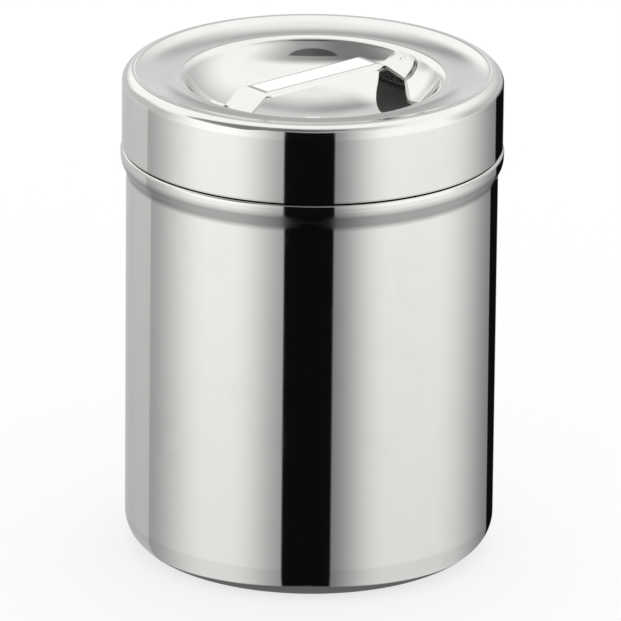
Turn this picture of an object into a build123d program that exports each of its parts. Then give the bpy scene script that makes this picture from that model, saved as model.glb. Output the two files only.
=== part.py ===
"""Stainless dressing jar with a lift-off cover and a welded strap handle.

Millimetres, +Z up. The origin is the centre of the circle that the jar stands on, and +X runs along
the strap handle. Every shell is drawn from one sheet, so each is a solid of revolution made from an
outline and the same outline set in by the sheet's thickness.
"""
import os
from math import asin, cos, degrees, radians, sin

from build123d import *

# Sheet and main sizes
sheet = 0.6
body_radius = 63.5
skirt_radius = 65.0
lid_top = 170.3
skirt_edge = 143.7

# Jar: underside, base corner, bead that the skirt sits over, neck and lip
base_corner = 11.7
base_lift = 1.2
panel_step_angle = 30.0
contact_ring = 2.0
bead_radius = 65.4
bead_start = 133.5
bead_middle = 140.5
bead_shoulder = 1.3
bead_shoulder_start = 142.0
neck_fillet = 0.6
lip_wire = 0.6
lip_height = 165.9

# Lid: crown, dished ring, rolled recess edge, recess wall and recess floor
crown_radius = 4.2
ring_outer_slope = 18.0
ring_inner_slope = 1.9
recess_edge_radius = 46.15
edge_roll = 4.4
wall_slope = 53.0
wall_arc = 24.0
floor_slope = 17.0

# Strap handle: strip, bridge, legs, feet and the long edges that are turned down along the bridge
strip_thickness = 1.0
strip_width = 13.0
bridge_top = 168.25
leg_slope = 36.0
bridge_bend = 6.0
foot_bend = 1.6
foot_start_slope = 34.0
foot_end_radius = 43.2
foot_corner = 4.0
foot_clearance = 0.05
curl_flat = 4.4
curl_radius = 2.2
curl_angle = 70.0
plan_depth = 12.0

# Spot weld through the middle of each foot
weld_diameter = 3.2
weld_radius_from_axis = 40.7
weld_into_lid = 0.3
weld_dimple = 0.12

os.makedirs("parts", exist_ok=True)


def turn(start, left, radius, angle):
    """An arc that goes on smoothly from the end of an edge, to the left or to the right."""
    return JernArc(start @ 1, start % 1, radius, angle if left else -angle)


# Where the jar's S-shaped bends start and end
panel_step_radius = base_lift / (2 * (1 - cos(radians(panel_step_angle))))
panel_radius = body_radius - base_corner - contact_ring - 2 * panel_step_radius * sin(radians(panel_step_angle))
bead_swing = degrees(2 * asin(1 / (1 + ((bead_middle - bead_start) / (bead_radius - body_radius)) ** 2) ** 0.5))
bead_bend = (bead_middle - bead_start) / (2 * sin(radians(bead_swing)))


def jar_outline(inset, top):
    """The jar's outside from the centre of its underside to its mouth, or its inside when set in."""
    panel = Line((0, base_lift + inset), (panel_radius, base_lift + inset))
    step_down = turn(panel, False, panel_step_radius + inset, panel_step_angle)
    step_out = turn(step_down, True, panel_step_radius - inset, panel_step_angle)
    ring = Line(step_out @ 1, (step_out @ 1) + Vector(contact_ring, 0, 0))
    corner = turn(ring, True, base_corner - inset, 90)
    wall = Line(corner @ 1, (body_radius - inset, bead_start))
    bead_out = turn(wall, False, bead_bend + inset, bead_swing)
    bead_back = turn(bead_out, True, bead_bend - inset, bead_swing)
    bead_side = Line(bead_back @ 1, (bead_radius - inset, bead_shoulder_start))
    shoulder = turn(bead_side, True, bead_shoulder - inset, 90)
    neck_foot = turn(shoulder, False, neck_fillet + inset, 90)
    neck = Line(neck_foot @ 1, (body_radius - inset, top))
    mouth = Line(neck @ 1, (0, top))
    Line(mouth @ 1, panel @ 0)


# Where the lid's arcs meet, from the crown inwards
crest_radius = skirt_radius - crown_radius
ring_outer = crest_radius - crown_radius * sin(radians(ring_outer_slope))
ring_sines = sin(radians(ring_outer_slope)) - sin(radians(ring_inner_slope))
ring_arc = (ring_outer - recess_edge_radius) / ring_sines
ring_drop = ring_arc * (cos(radians(ring_inner_slope)) - cos(radians(ring_outer_slope)))
recess_edge_height = lid_top - crown_radius * (1 - cos(radians(ring_outer_slope))) - ring_drop
wall_top_radius = recess_edge_radius - edge_roll * (sin(radians(wall_slope)) - sin(radians(ring_inner_slope)))
wall_top = recess_edge_height - edge_roll * (cos(radians(ring_inner_slope)) - cos(radians(wall_slope)))
wall_centre_radius = wall_top_radius - wall_arc * sin(radians(wall_slope))
wall_centre_height = wall_top + wall_arc * cos(radians(wall_slope))
floor_edge_radius = wall_centre_radius + wall_arc * sin(radians(floor_slope))
floor_arc = floor_edge_radius / sin(radians(floor_slope))
floor_centre = wall_centre_height - wall_arc * cos(radians(floor_slope)) - floor_arc * (1 - cos(radians(floor_slope)))


def lid_outline(inset, bottom):
    """The lid's top from the recess floor to the skirt's edge, or its underside when set in."""
    floor = JernArc((0, floor_centre - inset), (1, 0), floor_arc + inset, floor_slope)
    wall = turn(floor, True, wall_arc + inset, wall_slope - floor_slope)
    edge = turn(wall, False, edge_roll - inset, wall_slope - ring_inner_slope)
    ring = turn(edge, True, ring_arc + inset, ring_outer_slope - ring_inner_slope)
    crown = turn(ring, False, crown_radius - inset, 90 + ring_outer_slope)
    skirt = Line(crown @ 1, (skirt_radius - inset, bottom))
    base = Line(skirt @ 1, (0, bottom))
    Line(base @ 1, floor @ 0)


def above_wall(slope, rise):
    """The point at a height over the recess wall, square to it, where the wall has this slope."""
    reach = wall_arc - rise
    out = wall_centre_radius + reach * sin(radians(slope))
    return Vector(out, wall_centre_height - reach * cos(radians(slope)))


# Where the strap's bends lie, worked back from the foot to the bridge
bridge_under = bridge_top - strip_thickness
foot_start = above_wall(foot_start_slope, foot_clearance)
foot_end_slope = degrees(asin((foot_end_radius - wall_centre_radius) / (wall_arc - foot_clearance)))
leg_foot_x = foot_start.X - foot_bend * (sin(radians(leg_slope)) + sin(radians(foot_start_slope)))
leg_foot_z = foot_start.Y - foot_bend * (cos(radians(leg_slope)) - cos(radians(foot_start_slope)))
leg_drop = bridge_under - bridge_bend * (1 - cos(radians(leg_slope))) - leg_foot_z
leg_length = leg_drop / sin(radians(leg_slope))
bridge_half = leg_foot_x - leg_length * cos(radians(leg_slope)) - bridge_bend * sin(radians(leg_slope))


def strap_side(rise):
    """Half of the strip as seen from its side, on its underside or, with a rise, on its top."""
    bridge = Line((0, bridge_under + rise), (bridge_half, bridge_under + rise))
    bend = turn(bridge, False, bridge_bend + rise, leg_slope)
    heading = Vector(cos(radians(leg_slope)), -sin(radians(leg_slope)))
    leg = Line(bend @ 1, (bend @ 1) + heading * leg_length)
    fold = turn(leg, True, foot_bend - rise, leg_slope + foot_start_slope)
    return bridge, fold


with BuildPart() as jar_body:
    with BuildSketch(Plane.XZ) as jar_outside:
        with BuildLine():
            jar_outline(0, lip_height)
        make_face()
    revolve(axis=Axis.Z)
    with BuildSketch(Plane.XZ) as jar_inside:
        with BuildLine():
            jar_outline(sheet, lip_height + lip_wire)
        make_face()
    revolve(axis=Axis.Z, mode=Mode.SUBTRACT)
    with BuildSketch(Plane.XZ) as lip:
        with Locations((body_radius, lip_height)):
            Circle(lip_wire)
    revolve(axis=Axis.Z)
jar_body.part.label = "jar_body"

def at_welds(rise):
    """The planes square to the recess wall at the two welds, at a height over it."""
    slope = asin((weld_radius_from_axis - wall_centre_radius) / wall_arc)
    point = above_wall(degrees(slope), rise)
    right = Plane(origin=(point.X, 0, point.Y), z_dir=(-sin(slope), 0, cos(slope)))
    left = Plane(origin=(-point.X, 0, point.Y), z_dir=(sin(slope), 0, cos(slope)))
    return right, left


with BuildPart() as weld_tool:
    with BuildSketch(*at_welds(-weld_into_lid)):
        Circle(weld_diameter / 2)
    extrude(amount=weld_into_lid + foot_clearance + strip_thickness - weld_dimple)

with BuildPart() as dimple_tool:
    with BuildSketch(*at_welds(foot_clearance + strip_thickness - weld_dimple)):
        Circle(weld_diameter / 2)
    extrude(amount=strip_thickness)

with BuildPart() as lid_shell:
    with BuildSketch(Plane.XZ) as lid_outside:
        with BuildLine():
            lid_outline(0, skirt_edge)
        make_face()
    revolve(axis=Axis.Z)
    with BuildSketch(Plane.XZ) as lid_inside:
        with BuildLine():
            lid_outline(sheet, skirt_edge - sheet)
        make_face()
    revolve(axis=Axis.Z, mode=Mode.SUBTRACT)
    add(weld_tool.part, mode=Mode.SUBTRACT)
lid_shell.part.label = "lid_shell"

with BuildPart() as strap_handle:
    with BuildSketch(Plane.XZ) as strip_side:
        with BuildLine():
            under_bridge, under_fold = strap_side(0)
            top_bridge, top_fold = strap_side(strip_thickness)
            Line(under_bridge @ 0, top_bridge @ 0)
            Line(under_fold @ 1, top_fold @ 1)
        make_face()
        mirror(about=Plane.YZ)
    extrude(amount=strip_width / 2, both=True)
    with BuildSketch(Plane.XZ) as foot_side:
        with BuildLine():
            foot_under_arc = CenterArc(
                (wall_centre_radius, wall_centre_height),
                wall_arc - foot_clearance,
                foot_start_slope - 90,
                foot_end_slope - foot_start_slope,
            )
            foot_top_arc = CenterArc(
                (wall_centre_radius, wall_centre_height),
                wall_arc - foot_clearance - strip_thickness,
                foot_start_slope - 90,
                foot_end_slope - foot_start_slope,
            )
            Line(foot_under_arc @ 0, foot_top_arc @ 0)
            Line(foot_under_arc @ 1, foot_top_arc @ 1)
        make_face()
    feet = revolve(axis=Axis.Z, mode=Mode.PRIVATE)
    with BuildSketch(Plane.XY.offset(bridge_top - plan_depth)) as plan:
        RectangleRounded(2 * foot_end_radius, strip_width, foot_corner)
    plan_block = extrude(amount=plan_depth, mode=Mode.PRIVATE)
    add(feet.intersect(plan_block))
    with BuildSketch(Plane.XZ) as under_lid:
        with BuildLine():
            lid_outline(-foot_clearance, skirt_edge)
        make_face()
    revolve(axis=Axis.Z, mode=Mode.SUBTRACT)
    with BuildSketch(Plane.XY.offset(bridge_under - strip_thickness)) as curl_room:
        for side in (1, -1):
            with Locations((0, side * (curl_flat + strip_width / 2))):
                Rectangle(2 * bridge_half, strip_width)
    extrude(amount=3 * strip_thickness, mode=Mode.SUBTRACT)
    with BuildSketch(Plane.YZ.offset(-bridge_half)) as curl:
        with BuildLine():
            curl_top = JernArc((curl_flat, bridge_top), (1, 0), curl_radius, -curl_angle)
            curl_under = JernArc((curl_flat, bridge_under), (1, 0), curl_radius - strip_thickness, -curl_angle)
            Line(curl_top @ 0, curl_under @ 0)
            Line(curl_top @ 1, curl_under @ 1)
        make_face()
        mirror(about=Plane.YZ)
    extrude(amount=2 * bridge_half)
    add(weld_tool.part, mode=Mode.SUBTRACT)
    add(dimple_tool.part, mode=Mode.SUBTRACT)
strap_handle.part.label = "strap_handle"

with BuildPart() as handle_welds:
    add(weld_tool.part)
handle_welds.part.label = "handle_welds"

export_step(jar_body.part, "parts/jar_body.step")
export_step(lid_shell.part, "parts/lid_shell.step")
export_step(strap_handle.part, "parts/strap_handle.step")
export_step(handle_welds.part, "parts/handle_welds.step")
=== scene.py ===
"""The looks of a stainless dressing jar: a drawn jar, a pressed cover and a strap handle.

It is laid out as an add-on and run as a script. The sizes are the source's, in metres.
"""
from math import asin, ceil, cos, degrees, hypot, pi, radians, sin, sqrt

import bmesh
import bpy
from bpy.props import FloatProperty, FloatVectorProperty, PointerProperty
from mathutils import Matrix, Vector


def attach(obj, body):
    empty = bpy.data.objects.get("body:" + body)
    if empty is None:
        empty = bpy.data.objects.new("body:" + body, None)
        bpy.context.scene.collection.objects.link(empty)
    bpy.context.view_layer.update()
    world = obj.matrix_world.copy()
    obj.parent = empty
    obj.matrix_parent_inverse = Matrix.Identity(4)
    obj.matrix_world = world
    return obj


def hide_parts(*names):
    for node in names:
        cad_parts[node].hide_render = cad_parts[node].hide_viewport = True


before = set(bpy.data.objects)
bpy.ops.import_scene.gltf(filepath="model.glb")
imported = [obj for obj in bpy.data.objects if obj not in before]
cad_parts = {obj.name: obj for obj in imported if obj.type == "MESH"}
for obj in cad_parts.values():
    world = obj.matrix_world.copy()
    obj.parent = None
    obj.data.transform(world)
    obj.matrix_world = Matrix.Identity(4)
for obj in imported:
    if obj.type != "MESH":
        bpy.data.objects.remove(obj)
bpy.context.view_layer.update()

bl_info = {
    "name": "Dressing Jar",
    "version": (1, 0, 0),
    "blender": (4, 5, 0),
    "location": "3D View > Sidebar > Dressing Jar",
    "description": "Builds a polished stainless dressing jar, its cover, its strap handle and a studio",
    "category": "Object",
}


def length(name, description, default):
    """A size in metres, kept to a tenth of a millimetre in the panel."""
    return FloatProperty(
        name=name, description=description, default=default, min=0.0, unit="LENGTH", subtype="DISTANCE",
        precision=4,
    )


def slope(name, description, default):
    """An angle, given here in degrees and kept in radians."""
    return FloatProperty(name=name, description=description, default=radians(default), subtype="ANGLE")


def share(name, description, default):
    """A number between nothing and one."""
    return FloatProperty(
        name=name, description=description, default=default, min=0.0, max=1.0, subtype="FACTOR"
    )


def colour(name, description, default):
    """A colour in linear light."""
    return FloatVectorProperty(name=name, description=description, default=default, size=3, subtype="COLOR")


class JarSizes(bpy.types.PropertyGroup):
    """The jar and the sheet that jar and cover are drawn from"""

    sheet: length("Sheet", "Thickness of the steel sheet", 0.0006)
    radius: length("Wall radius", "Outside radius of the wall and the neck", 0.0635)
    corner: length("Base corner", "Outside radius of the corner between wall and base", 0.0117)
    lift: length("Panel lift", "Height of the base panel over the ring that the jar stands on", 0.0012)
    step: slope("Panel step", "How far the base turns up to its panel", 30.0)
    ring: length("Ring width", "Width of the flat ring that the jar stands on", 0.002)
    bead_radius: length("Bead radius", "Outside radius of the bead under the cover", 0.0654)
    bead_start: length("Bead start", "Height at which the wall swells out to the bead", 0.1335)
    bead_middle: length("Bead side", "Height at which the bead is widest", 0.1405)
    shoulder_start: length("Shoulder start", "Height at which the bead turns in to the neck", 0.142)
    shoulder: length("Shoulder", "Radius of the bead's upper corner", 0.0013)
    neck_foot: length("Neck foot", "Radius of the corner between bead and neck", 0.0006)
    lip_wire: length("Lip", "Radius of the hemmed lip", 0.0006)
    lip_height: length("Lip height", "Height of the middle of the hemmed lip", 0.1659)


class CoverSizes(bpy.types.PropertyGroup):
    """The pressed cover, from its skirt to the middle of its recess"""

    radius: length("Skirt radius", "Outside radius of the skirt", 0.065)
    edge: length("Skirt edge", "Height of the skirt's lower edge", 0.1437)
    top: length("Top", "Height of the crown", 0.1703)
    crown: length("Crown", "Radius of the rounded crown", 0.0042)
    ring_outer: slope("Ring outer slope", "Slope of the dished ring beside the crown", 18.0)
    ring_inner: slope("Ring inner slope", "Slope of the dished ring beside the recess", 1.9)
    recess: length("Recess radius", "Radius at which the ring rolls over into the recess", 0.04615)
    roll: length("Recess roll", "Radius of the rolled edge of the recess", 0.0044)
    wall: slope("Recess wall", "Steepest slope of the recess wall", 53.0)
    wall_arc: length("Wall arc", "Radius of the hollow between wall and floor", 0.024)
    floor: slope("Floor slope", "Slope at which the wall runs out into the floor", 17.0)


class StrapSizes(bpy.types.PropertyGroup):
    """The strap handle and its spot welds"""

    thickness: length("Strip thickness", "Thickness of the strip", 0.001)
    width: length("Strip width", "Width of the strip", 0.013)
    top: length("Bridge top", "Height of the top of the bridge", 0.16825)
    leg: slope("Leg slope", "Slope of the legs", 36.0)
    bend: length("Bridge bend", "Radius under the bends between bridge and legs", 0.006)
    fold: length("Foot bend", "Radius under the bends between legs and feet", 0.0016)
    foot_start: slope("Foot start", "Slope of the recess wall where a foot starts", 34.0)
    foot_end: length("Foot end", "Distance of a foot's end from the axis", 0.0432)
    foot_corner: length("Foot corner", "Radius of a foot's corners, seen from above", 0.004)
    clearance: length("Foot gap", "Gap between a foot and the recess wall", 0.00005)
    edge: length("Edge", "Rounding of the strip's sheared edges", 0.00022)
    curl_flat: length("Flat width", "Half of the bridge's width that stays flat", 0.0044)
    curl: length("Edge curl", "Radius of the turned-down edges", 0.0022)
    weld: length("Weld", "Diameter of the pit that a spot weld leaves", 0.0026)
    weld_place: length("Weld place", "Distance of a weld from the axis", 0.0407)
    weld_pit: length("Weld pit", "Depth of the pit", 0.00007)


class SteelLook(bpy.types.PropertyGroup):
    """The steel's colour, gloss and marks"""

    tint: colour("Steel", "Colour of the polished steel", (0.672, 0.664, 0.648))
    gloss: share("Roughness", "Roughness of the polished steel", 0.04)
    grain: share("Grain", "Depth of the fine spun grain", 0.15)
    ripple: share("Ripple", "Depth of the slow waves that pressing leaves", 0.2)
    weld_tint: colour("Weld", "Colour of the fused steel in a weld's pit", (0.4, 0.395, 0.39))


class StudioLook(bpy.types.PropertyGroup):
    """The floor, the light and the camera"""

    floor_tint: colour("Floor", "Colour of the floor", (0.86, 0.86, 0.86))
    under: share("Table", "Brightness of the table that the base reflects", 0.16)
    bright: FloatProperty(name="Ceiling", description="Brightness of the ceiling", default=1.36, min=0.0)
    ceiling: slope("Ceiling edge", "Height over the horizon at which the ceiling starts", 38.5)
    azimuth: slope("Azimuth", "Where the camera stands round the jar", -41.4)
    elevation: slope("Elevation", "Height of the camera over the horizon", 19.47)
    distance: length("Distance", "Distance of the camera from the jar's axis", 3.175)
    aim: length("Aim", "Height that the camera aims at", 0.0832)
    lens: FloatProperty(name="Lens", description="Focal length", default=536.9, subtype="DISTANCE_CAMERA")
    roll: FloatProperty(
        name="Roll", description="Turn of the camera about its line of sight", default=0.01, subtype="ANGLE"
    )
    aside: FloatProperty(
        name="Aside", description="How far right of the axis it aims", default=-0.00006, unit="LENGTH",
        precision=5,
    )


# The strip's grid: the shares of its half length before the round end and of its half width before the curl
BEFORE_END = 0.86
BEFORE_CURL = 0.6
# Along the strip, the curl and the foot fade into the leg over these lengths
CURL_FADE = (-0.0005, 0.0035)
FOOT_FADE = 0.0012
# Outlines: the longest step round an arc and the place of the vertices that keep a straight run's ends flat
ARC_STEP = 0.0012
LINE_GUARD = 0.0004
# Steel: lines of grain in a metre across and along it, and the full depths of grain and waves
GRAIN_ACROSS = 9000
GRAIN_ALONG = 300
GRAIN_DEPTH = 0.000004
RIPPLE_DEPTH = 0.00008


class Pen:
    """Draws an outline in the XZ plane by spinning and extruding one vertex, and keeps its heading."""

    def __init__(self, bm, x, z, heading):
        self.bm = bm
        self.tip = bmesh.ops.create_vert(bm, co=(x, 0, z))["vert"][0]
        self.heading = heading

    def line(self, reach):
        """A straight run, with a close vertex at each end that keeps its shading flat."""
        guard = min(LINE_GUARD, reach / 3)
        for step in (guard, reach - 2 * guard, guard):
            made = bmesh.ops.extrude_vert_indiv(self.bm, verts=[self.tip])
            self.tip = made["verts"][0]
            along = Vector((cos(self.heading), 0, sin(self.heading))) * step
            bmesh.ops.translate(self.bm, verts=[self.tip], vec=along)

    def arc(self, radius, turn, fine=radians(3.0)):
        """An arc that goes on smoothly, to the left where the turn is positive."""
        side = 1 if turn > 0 else -1
        aside = self.heading + side * pi / 2
        middle = self.tip.co + Vector((cos(aside), 0, sin(aside))) * radius
        steps = max(3, ceil(abs(turn) / fine), ceil(abs(turn) * radius / ARC_STEP))
        made = bmesh.ops.spin(
            self.bm, geom=[self.tip], cent=middle, axis=(0, -side, 0), angle=abs(turn), steps=steps,
            use_duplicate=False,
        )
        self.tip = next(part for part in made["geom_last"] if isinstance(part, bmesh.types.BMVert))
        self.heading += turn

    def follow(self, moves):
        """Runs a list of moves, each a reach with no turn or a radius with one."""
        for size, turn in moves:
            if turn:
                self.arc(size, turn)
            else:
                self.line(size)


def inside(moves, sheet, side):
    """The way back along the other face of a sheet, which lies on that side of the moves."""
    back = []
    for size, turn in reversed(moves):
        if turn:
            back.append((size - sheet * side * (1 if turn > 0 else -1), -turn))
        else:
            back.append((size, 0))
    return back


def closed_turning(bm, steps):
    """Spins the outline in a bmesh round the Z axis, closes its poles and points its faces outwards."""
    for vert in bm.verts:
        if abs(vert.co.x) < 1e-6:
            vert.co.x = 0
    bmesh.ops.spin(
        bm, geom=bm.verts[:] + bm.edges[:], cent=(0, 0, 0), axis=(0, 0, 1), angle=2 * pi, steps=steps,
        use_merge=True, use_duplicate=False,
    )
    bmesh.ops.remove_doubles(bm, verts=bm.verts[:], dist=1e-7)
    bmesh.ops.recalc_face_normals(bm, faces=bm.faces[:])


def finished(bm, name, body, material, nodes):
    """Makes a bmesh an object that is shaded smooth, rides on a body and stands for CAD nodes."""
    mesh = bpy.data.meshes.new(name)
    for face in bm.faces:
        face.smooth = True
    bm.to_mesh(mesh)
    bm.free()
    piece = bpy.data.objects.new(name, mesh)
    bpy.context.scene.collection.objects.link(piece)
    mesh.materials.append(material)
    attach(piece, body)
    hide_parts(*nodes)
    return piece


def jar_moves(s):
    """The jar's outside from the middle of its underside to the hem of its lip."""
    step_radius = s.lift / (2 * (1 - cos(s.step)))
    panel = s.radius - s.corner - s.ring - 2 * step_radius * sin(s.step)
    rise = s.bead_middle - s.bead_start
    swing = 2 * asin(1 / sqrt(1 + (rise / (s.bead_radius - s.radius)) ** 2))
    bead = rise / (2 * sin(swing))
    shoulder_top = s.shoulder_start + s.shoulder
    return [
        (panel, 0),
        (step_radius, -s.step),
        (step_radius, s.step),
        (s.ring, 0),
        (s.corner, pi / 2),
        (s.bead_start - s.corner, 0),
        (bead, -swing),
        (bead, swing),
        (s.shoulder_start - s.bead_middle, 0),
        (s.shoulder, pi / 2),
        (s.bead_radius - s.radius - s.shoulder - s.neck_foot, 0),
        (s.neck_foot, -pi / 2),
        (s.lip_height - s.lip_wire - shoulder_top - s.neck_foot, 0),
    ]


class CoverShape:
    """Where the cover's arcs meet, worked inwards from the crown."""

    def __init__(self, s):
        ring_out = s.radius - s.crown - s.crown * sin(s.ring_outer)
        self.ring_arc = (ring_out - s.recess) / (sin(s.ring_outer) - sin(s.ring_inner))
        ring_drop = self.ring_arc * (cos(s.ring_inner) - cos(s.ring_outer))
        recess_height = s.top - s.crown * (1 - cos(s.ring_outer)) - ring_drop
        wall_out = s.recess - s.roll * (sin(s.wall) - sin(s.ring_inner))
        wall_top = recess_height - s.roll * (cos(s.ring_inner) - cos(s.wall))
        self.wall_arc = s.wall_arc
        self.wall_out = wall_out - s.wall_arc * sin(s.wall)
        self.wall_up = wall_top + s.wall_arc * cos(s.wall)
        floor_out = self.wall_out + s.wall_arc * sin(s.floor)
        self.floor_arc = floor_out / sin(s.floor)
        self.floor_height = self.wall_up - s.wall_arc * cos(s.floor) - self.floor_arc * (1 - cos(s.floor))

    def over_wall(self, x, y, rise):
        """The height of a face that stands this far off the recess wall, over a point of the plan."""
        reach = self.wall_arc - rise
        out = min(hypot(x, y) - self.wall_out, reach * 0.999)
        return self.wall_up - sqrt(reach**2 - out**2)


def cover_moves(s):
    """The cover's top from the middle of the recess floor to the skirt's edge."""
    shape = CoverShape(s)
    return shape, [
        (shape.floor_arc, s.floor),
        (s.wall_arc, s.wall - s.floor),
        (s.roll, s.ring_inner - s.wall),
        (shape.ring_arc, s.ring_outer - s.ring_inner),
        (s.crown, -pi / 2 - s.ring_outer),
    ]


class StrapShape:
    """The strip's side view: bridge, bend, leg, fold and foot, worked back from the foot."""

    def __init__(self, s, cover):
        self.sizes = s
        self.cover = cover
        reach = cover.wall_arc - s.clearance
        foot_x = cover.wall_out + reach * sin(s.foot_start)
        foot_z = cover.wall_up - reach * cos(s.foot_start)
        fold_x = foot_x - s.fold * (sin(s.leg) + sin(s.foot_start))
        fold_z = foot_z - s.fold * (cos(s.leg) - cos(s.foot_start))
        under = s.top - s.thickness
        drop = under - s.bend * (1 - cos(s.leg)) - fold_z
        self.leg_reach = drop / sin(s.leg)
        self.bridge = fold_x - self.leg_reach * cos(s.leg) - s.bend * sin(s.leg)
        self.under = under
        top_reach = reach - s.thickness
        self.top_foot_start = cover.wall_out + top_reach * sin(s.foot_start)
        end_sine = (s.foot_end - cover.wall_out) / reach
        self.top_foot_end = cover.wall_out + top_reach * end_sine

    def leg_top(self, x):
        """The height of the strip's top over a distance from the middle, before the foot."""
        s = self.sizes
        bend = s.bend + s.thickness
        bend_end = self.bridge + bend * sin(s.leg)
        if x <= self.bridge:
            return s.top
        if x <= bend_end:
            return s.top - bend + sqrt(bend**2 - (x - self.bridge) ** 2)
        bend_drop = bend * (1 - cos(s.leg))
        return s.top - bend_drop - (x - bend_end) * sin(s.leg) / cos(s.leg)


def smooth(low, high, value):
    """A step from nothing to one that starts and ends level."""
    t = min(max((value - low) / (high - low), 0.0), 1.0)
    return t * t * (3 - 2 * t)


def strap_point(shape, along, across):
    """A point of the strip's top, from its place along the strip and across it, both from -1 to 1."""
    s = shape.sizes
    half = s.width / 2
    end = shape.top_foot_end
    corner = s.foot_corner
    far = abs(along)
    # The last share of the grid is the round end, stepped evenly round its corners
    if far > BEFORE_END:
        turn = (far - BEFORE_END) / (1 - BEFORE_END) * pi / 2
        x = end - corner + corner * sin(turn)
        limit = half - corner + corner * cos(turn)
    else:
        x = far / BEFORE_END * (end - corner)
        limit = half
    # The outer rows of the bridge are stepped evenly round the turned-down edge
    side = abs(across)
    widest = asin(min((half - s.curl_flat) / s.curl, 1.0))
    if side > BEFORE_CURL:
        turn = (side - BEFORE_CURL) / (1 - BEFORE_CURL) * widest
        y = s.curl_flat + s.curl * sin(turn)
    else:
        turn = 0.0
        y = side / BEFORE_CURL * s.curl_flat
    y *= limit / half
    curl = s.curl * (1 - cos(turn))
    fade = 1 - smooth(shape.bridge + CURL_FADE[0], shape.bridge + CURL_FADE[1], x)
    z = shape.leg_top(x) - curl * fade
    blend = smooth(shape.top_foot_start - FOOT_FADE, shape.top_foot_start + FOOT_FADE, x)
    if blend > 0:
        foot = shape.cover.over_wall(x, y, s.clearance + s.thickness)
        z = z * (1 - blend) + foot * blend
        pit = hypot(x - s.weld_place, y) / (s.weld / 2)
        rim = smooth(0.8, 1.05, pit) * (1 - smooth(1.05, 1.4, pit))
        z -= s.weld_pit * (1 - smooth(0.55, 1.0, pit) - 0.3 * rim)
    return Vector((x if along >= 0 else -x, y if across >= 0 else -y, z))


class Wire:
    """A node's output. Python sums on it add Math nodes, or Vector Math nodes where it is a vector."""

    def __init__(self, nodes, socket):
        self.nodes = nodes
        self.socket = socket

    def maths(self, operation, *values):
        if self.socket.type == "VECTOR":
            return self.nodes.add("ShaderNodeVectorMath", {"operation": operation}, *values)
        return self.nodes.add("ShaderNodeMath", {"operation": operation}, *values)

    def __add__(self, other):
        return self.maths("ADD", self, other)

    __radd__ = __add__

    def __sub__(self, other):
        return self.maths("SUBTRACT", self, other)

    def __rsub__(self, other):
        return self.maths("SUBTRACT", other, self)

    def __mul__(self, other):
        return self.maths("MULTIPLY", self, other)

    __rmul__ = __mul__

    def __truediv__(self, other):
        return self.maths("DIVIDE", self, other)

    def __pow__(self, other):
        return self.maths("POWER", self, other)

    def __abs__(self):
        return self.maths("ABSOLUTE", self)

    def step(self, low, high):
        """Rises from nothing to one between two values, level at both ends."""
        return self.nodes.add(
            "ShaderNodeMapRange", {"interpolation_type": "SMOOTHSTEP"}, Value=self,
            **{"From Min": low, "From Max": high},
        )

    def band(self, low, high, soft):
        """One between two values and nothing outside them, with soft edges."""
        return self.step(low - soft, low + soft) * (1 - self.step(high - soft, high + soft))

    def towards(self, other, factor):
        """This value mixed with another by a factor."""
        return self * (1 - factor) + other * factor


class Nodes:
    """A node tree that is cleared and built again."""

    def __init__(self, tree):
        self.tree = tree
        tree.nodes.clear()

    def add(self, kind, settings=None, *values, **named):
        """Adds a node: its settings first, then its sockets by order and by name. Gives its first output."""
        node = self.tree.nodes.new(kind)
        for name, value in (settings or {}).items():
            setattr(node, name, value)
        given = list(enumerate(values)) + list(named.items())
        for key, value in given:
            socket = node.inputs[key]
            if isinstance(value, Wire):
                self.tree.links.new(value.socket, socket)
            else:
                socket.default_value = value
        return Wire(self, next(out for out in node.outputs if out.enabled)) if node.outputs else node

    def output(self, kind, name, settings=None, **named):
        """The same, but gives the output of that name."""
        wire = self.add(kind, settings, **named)
        return Wire(self, wire.socket.node.outputs[name])

    def blend(self, first, second, factor):
        """Mixes two colours, each a vector or a wire, by a factor."""
        node = self.add("ShaderNodeMix", {"data_type": "RGBA"}, Factor=factor).socket.node
        for socket, value in ((node.inputs[6], first), (node.inputs[7], second)):
            if isinstance(value, Wire):
                self.tree.links.new(value.socket, socket)
            else:
                socket.default_value = (*value, 1)
        return Wire(self, node.outputs[2])

    def split(self, vector):
        """The three parts of a vector."""
        return [Wire(self, out) for out in self.add("ShaderNodeSeparateXYZ", None, vector).socket.node.outputs]


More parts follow.
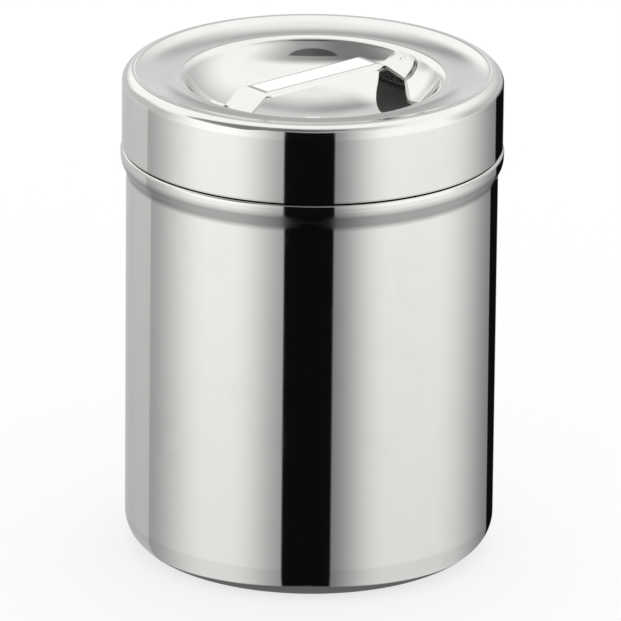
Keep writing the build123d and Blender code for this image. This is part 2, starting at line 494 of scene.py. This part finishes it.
def steel(name, look, ripple_scale, grain_along, tint=None, rough=None, shade_and_rough_mask=None):
    """Polished stainless steel: a spun or drawn grain, slow ripples, faint marks, and masked places made
    rougher and painted dark as painted shade.
    """
    material = bpy.data.materials.new(name)
    material.use_nodes = True
    n = Nodes(material.node_tree)
    place = n.output("ShaderNodeTexCoord", "Object")
    x, y, z = n.split(place)
    out = (x * x + y * y) ** 0.5
    if grain_along == "round":
        grain_place = n.add("ShaderNodeCombineXYZ", None, out * GRAIN_ACROSS, z * GRAIN_ACROSS, 0.0)
    else:
        grain_place = n.add("ShaderNodeCombineXYZ", None, x * GRAIN_ALONG, y * GRAIN_ACROSS, z * GRAIN_ALONG)
    grain = n.add("ShaderNodeTexNoise", None, Vector=grain_place, Scale=1.0, Detail=3.0, Roughness=0.6)
    ripple = n.add("ShaderNodeTexNoise", None, Vector=place, Scale=ripple_scale, Detail=1.0, Roughness=0.4)
    smudge = n.add("ShaderNodeTexNoise", None, Vector=place, Scale=55.0, Detail=5.0, Roughness=0.62)
    fine = n.add("ShaderNodeTexNoise", None, Vector=place, Scale=900.0, Detail=2.0, Roughness=0.5)
    marks = smudge.step(0.5, 0.72)
    gloss = rough if rough is not None else look.gloss
    # The mask makes places rougher and also carries painted shade: their colour is darkened further down.
    rough_and_painted_shade = shade_and_rough_mask(n, z) if shade_and_rough_mask else marks * 0
    roughness = gloss * (0.8 + 0.4 * grain) + marks * 0.02 + fine * 0.01 + rough_and_painted_shade * 0.2
    wavy = n.add("ShaderNodeBump", None, Strength=1.0, Distance=RIPPLE_DEPTH * look.ripple, Height=ripple)
    grained = n.add(
        "ShaderNodeBump", None, Strength=1.0, Distance=GRAIN_DEPTH * look.grain, Height=grain, Normal=wavy
    )
    base = Vector(tint or look.tint)
    stained = n.blend(base, base * 0.9, marks * 0.35 + grain * 0.15)
    # Painted shade: the masked places are darkened towards an eighth of the steel's colour.
    colour = n.blend(stained, base * 0.12, rough_and_painted_shade)
    shader = n.add(
        "ShaderNodeBsdfPrincipled", None, Metallic=1.0, Roughness=roughness, Normal=grained,
        **{"Base Color": colour},
    )
    n.add("ShaderNodeOutputMaterial", None, Surface=shader)
    return material


def rough_and_shaded_underside(n, z):
    """One on the faces that look down, which are made rougher and painted dark: painted shade on the strap's
    underside.
    """
    facing = n.output("ShaderNodeTexCoord", "Normal")
    return n.output("ShaderNodeSeparateXYZ", "Z", Vector=facing).step(-0.15, -0.45)


class JAR_OT_body(bpy.types.Operator):
    """Builds the drawn jar with its bead, its neck and its hemmed lip"""

    bl_idname = "dressing_jar.body"
    bl_label = "Jar"

    def execute(self, context):
        s = context.scene.jar_sizes
        bm = bmesh.new()
        pen = Pen(bm, 0, s.lift, 0.0)
        moves = jar_moves(s)
        pen.follow(moves)
        pen.heading = 0.0
        pen.arc(s.lip_wire, 1.5 * pi, radians(15))
        neck = moves[-1][0] + s.lip_wire
        pen.follow(inside(moves[:-1] + [(neck, 0)], s.sheet, 1))
        closed_turning(bm, 256)

        def rough_and_shaded_under_bead(n, z):
            """One half in the hollow under the bead, which is made rougher and painted dark: a painted dark
            reflection under the bead.
            """
            return 0.5 * z.band(s.bead_start + 0.001, s.bead_middle - 0.0013, 0.0009)

        # The band under the bead gets painted shade through the steel's mask.
        material = steel("spun_jar_steel", context.scene.steel_look, 18.0, "round", shade_and_rough_mask=rough_and_shaded_under_bead)
        finished(bm, "drawn_jar", "jar", material, ["jar_body"])
        return {"FINISHED"}


class JAR_OT_cover(bpy.types.Operator):
    """Builds the pressed cover with its skirt, its crown and its recess"""

    bl_idname = "dressing_jar.cover"
    bl_label = "Cover"

    def execute(self, context):
        s = context.scene.cover_sizes
        sheet = context.scene.jar_sizes.sheet
        shape, moves = cover_moves(s)
        bm = bmesh.new()
        pen = Pen(bm, 0, shape.floor_height, 0.0)
        skirt = s.top - s.crown - s.edge - sheet / 2
        pen.follow(moves + [(skirt, 0)])
        pen.arc(sheet / 2, -pi, radians(30))
        pen.follow(inside(moves + [(skirt, 0)], sheet, -1))
        closed_turning(bm, 256)
        material = steel("pressed_cover_steel", context.scene.steel_look, 26.0, "round")
        finished(bm, "pressed_cover", "lid", material, ["lid_shell"])
        return {"FINISHED"}


class JAR_OT_strap(bpy.types.Operator):
    """Builds the strap handle with its turned-down edges, its rounded feet and the pits of its welds"""

    bl_idname = "dressing_jar.strap"
    bl_label = "Strap handle"

    def execute(self, context):
        s = context.scene.strap_sizes
        shape = StrapShape(s, CoverShape(context.scene.cover_sizes))
        bm = bmesh.new()
        bmesh.ops.create_grid(bm, x_segments=301, y_segments=51, size=1.0)
        for vert in bm.verts:
            vert.co = strap_point(shape, vert.co.x, vert.co.y)
        bmesh.ops.recalc_face_normals(bm, faces=bm.faces[:])
        if sum(face.normal.z for face in bm.faces) < 0:
            bmesh.ops.reverse_faces(bm, faces=bm.faces[:])
        bmesh.ops.solidify(bm, geom=bm.faces[:], thickness=s.thickness)
        bmesh.ops.recalc_face_normals(bm, faces=bm.faces[:])
        joined = [edge for edge in bm.edges if len(edge.link_faces) == 2]
        sharp = [edge for edge in joined if edge.calc_face_angle() > radians(50)]
        bmesh.ops.bevel(
            bm, geom=sharp, offset=s.edge, offset_type="OFFSET", segments=3, profile=0.5, affect="EDGES",
            material=-1, clamp_overlap=True,
        )
        # The strap's downward faces get painted shade through the steel's mask.
        material = steel("strap_steel", context.scene.steel_look, 60.0, "along", shade_and_rough_mask=rough_and_shaded_underside)
        finished(bm, "bent_strap", "lid", material, ["strap_handle"])
        return {"FINISHED"}


class JAR_OT_welds(bpy.types.Operator):
    """Builds the fused buttons that show in the pits of the spot welds"""

    bl_idname = "dressing_jar.welds"
    bl_label = "Spot welds"

    def execute(self, context):
        s = context.scene.strap_sizes
        cover = CoverShape(context.scene.cover_sizes)
        bm = bmesh.new()
        for side in (1, -1):
            lean = asin((s.weld_place - cover.wall_out) / cover.wall_arc)
            up = Vector((-side * sin(lean), 0, cos(lean)))
            foot = Vector((side * s.weld_place, 0, cover.over_wall(s.weld_place, 0, 0)))
            turn = up.to_track_quat("Z", "Y").to_matrix().to_4x4()
            depth = s.clearance + s.thickness * 0.7
            made = bmesh.ops.create_cone(
                bm, cap_ends=True, segments=40, radius1=s.weld * 0.35, radius2=s.weld * 0.33, depth=depth,
                matrix=Matrix.Translation(foot + up * depth / 2) @ turn,
            )
            rim = {edge for vert in made["verts"] for edge in vert.link_edges if len(edge.link_faces) == 2}
            caps = [edge for edge in rim if edge.calc_face_angle() > radians(50)]
            bmesh.ops.bevel(
                bm, geom=caps, offset=0.0002, offset_type="OFFSET", segments=3, profile=0.5, affect="EDGES",
                material=-1,
            )
        look = context.scene.steel_look
        material = steel("fused_steel", look, 300.0, "along", look.weld_tint, 0.35)
        finished(bm, "weld_buttons", "lid", material, ["handle_welds"])
        return {"FINISHED"}


class JAR_OT_studio(bpy.types.Operator):
    """Builds the pale floor, the studio that the steel reflects, the soft lamp and the camera"""

    bl_idname = "dressing_jar.studio"
    bl_label = "Studio"

    def execute(self, context):
        look = context.scene.studio_look
        self.floor(context, look)
        self.surroundings(context, look)
        self.lamp(context)
        self.camera(context, look)
        context.scene.view_settings.view_transform = "Standard"
        return {"FINISHED"}

    def floor(self, context, look):
        """A wide pale floor that reads as white to the camera and keeps the jar's shadow."""
        bm = bmesh.new()
        bmesh.ops.create_grid(bm, x_segments=1, y_segments=1, size=6.0)
        bmesh.ops.translate(bm, verts=bm.verts[:], vec=(0, 0, -0.0001))
        mesh = bpy.data.meshes.new("studio_floor")
        bm.to_mesh(mesh)
        bm.free()
        floor = bpy.data.objects.new("studio_floor", mesh)
        context.scene.collection.objects.link(floor)
        floor.visible_glossy = False
        material = bpy.data.materials.new("pale_floor")
        material.use_nodes = True
        n = Nodes(material.node_tree)
        seen = n.output("ShaderNodeLightPath", "Is Camera Ray")
        place = n.output("ShaderNodeTexCoord", "Object")
        cloud = n.add("ShaderNodeTexNoise", None, Vector=place, Scale=2.0, Detail=2.0)
        matt = n.add("ShaderNodeBsdfDiffuse", None, (*look.floor_tint, 1), 0.4 + 0.1 * cloud)
        glow = n.add("ShaderNodeEmission", None, (1, 1, 1, 1), 1.1)
        shader = n.add("ShaderNodeMixShader", None, seen * 0.6, matt, glow)
        n.add("ShaderNodeOutputMaterial", None, Surface=shader)
        mesh.materials.append(material)

    def surroundings(self, context, look):
        """The world: white to the camera, plain light to the floor, and softboxes with dark gaps to the steel.

        Angles are in degrees. A turn is 0 on the camera's side, 180 behind the jar and negative at the left.
        """
        world = bpy.data.worlds.new("studio")
        context.scene.world = world
        world.use_nodes = True
        n = Nodes(world.node_tree)
        way = n.output("ShaderNodeTexCoord", "Generated")
        dx, dy, dz = n.split(way)
        a = look.azimuth
        near = dx * sin(a) - dy * cos(a)
        right = dx * cos(a) + dy * sin(a)
        aside = abs(right.maths("ARCTAN2", right, near)) * degrees(1)
        height = dz.maths("ARCSINE", dz) * degrees(1)
        # Twice the place round the jar that shows a direction to the camera, and how far it faces down
        toward = near + cos(look.elevation)
        down = dz * -1 - sin(look.elevation)
        spread = (toward * toward + right * right) ** 0.5
        turn = right.maths("ARCTAN2", right, toward.maths("MAXIMUM", toward, 0.0)) * degrees(2)
        lean = down.maths("ARCTAN2", down, spread) * degrees(1)
        low = self.sides(turn, height)
        # The back wall reaches lowest straight behind
        shown = (height + 8 * aside.step(168, 174)).step(-16, -2)
        level = low.towards(self.rear(look, right, aside, height), aside.step(84, 112) * shown)
        # On the camera's side the ceiling starts higher
        line = height - degrees(look.ceiling) - 16 * (1 - aside.step(38, 48))
        level = level.towards(self.overhead(look, right, near, dz), line.step(-1.5, 1.5))
        level = level.towards(look.under, (lean - abs(turn) * 0.15).step(28, 33))
        rays = n.add("ShaderNodeLightPath").socket.node.outputs
        glossy = Wire(n, rays["Is Glossy Ray"])
        camera = Wire(n, rays["Is Camera Ray"])
        clear = Wire(n, rays["Is Transmission Ray"])
        plain = (1 - glossy) * 0.85
        strength = (plain + glossy * level) * (1 - camera) * (1 - clear) + camera + clear
        shader = n.add("ShaderNodeBackground", None, (1, 1, 1, 1), strength)
        n.add("ShaderNodeOutputWorld", None, Surface=shader)

    def sides(self, turn, height):
        """Softboxes either side of a dark camera side, brightest in the middle, and a pale wall at the left."""
        left = turn * -1
        left_rise = 1 - (1 - left.step(14, 56)) ** 1.5
        left_box = left.band(16.8, 119, 0.6) * (0.5 + 0.72 * left_rise) * (1 - 0.6 * left.step(66, 120))
        right_rise = 1 - (1 - turn.step(10, 55)) ** 1.5
        right_box = turn.band(13.7, 147, 0.6) * (0.28 + 0.87 * right_rise) * (1 - 0.75 * turn.step(82, 150))
        wall = left.band(119, 181, 0.6) * (0.71 - 0.1 * left.step(125, 160))
        return (left_box + right_box + wall) * (0.83 + 0.4 * height.step(-24, -14)) + 0.005

    def rear(self, look, right, aside, height):
        """The back wall, which brightens upwards, with a dim panel and a small window straight behind."""
        right_wall = 0.7 + 0.67 * height.step(4, 44)
        left_wall = 0.74 + 0.62 * (height - 14 * (1 - aside.step(126, 142))).step(4, 20)
        at_left = right.step(0.06, -0.06)
        wall = right_wall.towards(left_wall, at_left)
        panel = 0.87 - 0.33 * aside.step(175.5, 178.5) * (1 - height.step(12, 15.5))
        panel = panel.towards(0.6 - 0.17 * at_left, height.step(19, 28))
        panel = panel.towards(1.2, height.step(24, 41)).towards(look.bright, height.step(-8, -10))
        window = aside.step(178.9, 179.3) * height.band(17.1, 18.9, 0.2)
        return wall.towards(panel, aside.step(168, 173)).towards(1.45, window)

    def overhead(self, look, right, near, dz):
        """A bright ceiling behind the jar, grey over it, darker at the left, with a dark opening in front."""
        up = dz.maths("MAXIMUM", dz, 0.02)
        across = right / up
        front = near / up
        grey = 0.28 + 0.2 * across.step(-0.35, 0.1) + 0.87 * across.step(0.05, 0.9)
        grey = grey + 0.32 * across.step(-0.6, -1.3)
        # The ceiling's edge is soft in the middle and crisp at the left
        edge = front + (front * 2.5 + 0.525) * across.step(-0.5, -1)
        bright = look.bright - 0.16 * (1 - (dz + abs(across) * 0.5).step(0.68, 0.78))
        ceiling = grey.towards(bright, 1 - edge.step(-0.22, 0.06))
        wide = across / 0.25
        deep = (front - 0.15) / 0.28
        opening = (wide * wide + deep * deep).step(1.15, 0.85) * front.step(0.13, 0.17)
        return ceiling.towards(0.1 + 0.07 * across.step(-0.15, 0.15), opening)

    def lamp(self, context):
        """A wide soft lamp overhead, for the shadow on the floor. The steel doesn't show it."""
        data = bpy.data.lights.new("soft_lamp", "AREA")
        data.shape = "DISK"
        data.size = 1.6
        data.energy = 9.0
        lamp = bpy.data.objects.new("soft_lamp", data)
        context.scene.collection.objects.link(lamp)
        lamp.location = (0.5, 0.4, 2.0)
        lamp.rotation_mode = "QUATERNION"
        lamp.rotation_quaternion = lamp.location.to_track_quat("Z", "Y")
        lamp.visible_glossy = False

    def camera(self, context, look):
        """The camera of the photograph."""
        data = bpy.data.cameras.new("camera")
        data.lens = look.lens
        data.sensor_width = 36
        data.clip_start = 0.1
        data.clip_end = 50
        camera = bpy.data.objects.new("camera", data)
        context.scene.collection.objects.link(camera)
        a, e = look.azimuth, look.elevation
        back = Vector((sin(a) * cos(e), -cos(a) * cos(e), sin(e)))
        turn = (-back).to_track_quat("-Z", "Y").to_matrix().to_4x4()
        target = Vector((0, 0, look.aim)) + Vector((cos(a), sin(a), 0)) * look.aside
        place = Matrix.Translation(target + back * look.distance)
        camera.matrix_world = place @ turn @ Matrix.Rotation(look.roll, 4, "Z")
        context.scene.camera = camera


class JAR_PT_panel(bpy.types.Panel):
    """The jar's pieces and their sizes"""

    bl_idname = "JAR_PT_panel"
    bl_label = "Dressing Jar"
    bl_space_type = "VIEW_3D"
    bl_region_type = "UI"
    bl_category = "Dressing Jar"

    def draw(self, context):
        for group, operators in PARTS:
            box = self.layout.box()
            values = getattr(context.scene, group)
            for name in values.__annotations__:
                box.prop(values, name)
            for operator in operators:
                box.operator(operator)


GROUPS = {
    "jar_sizes": JarSizes,
    "cover_sizes": CoverSizes,
    "strap_sizes": StrapSizes,
    "steel_look": SteelLook,
    "studio_look": StudioLook,
}
PARTS = [
    ("jar_sizes", ["dressing_jar.body"]),
    ("cover_sizes", ["dressing_jar.cover"]),
    ("strap_sizes", ["dressing_jar.strap", "dressing_jar.welds"]),
    ("steel_look", []),
    ("studio_look", ["dressing_jar.studio"]),
]
OPERATORS = [JAR_OT_body, JAR_OT_cover, JAR_OT_strap, JAR_OT_welds, JAR_OT_studio]


def register():
    for cls in (*GROUPS.values(), *OPERATORS, JAR_PT_panel):
        bpy.utils.register_class(cls)
    for name, group in GROUPS.items():
        setattr(bpy.types.Scene, name, PointerProperty(type=group))


def unregister():
    for name in GROUPS:
        delattr(bpy.types.Scene, name)
    for cls in (JAR_PT_panel, *OPERATORS, *reversed(GROUPS.values())):
        bpy.utils.unregister_class(cls)


def main():
    """Registers everything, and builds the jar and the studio."""
    register()
    bpy.ops.dressing_jar.body()
    bpy.ops.dressing_jar.cover()
    bpy.ops.dressing_jar.strap()
    bpy.ops.dressing_jar.welds()
    bpy.ops.dressing_jar.studio()


if __name__ == "__main__":
    main()
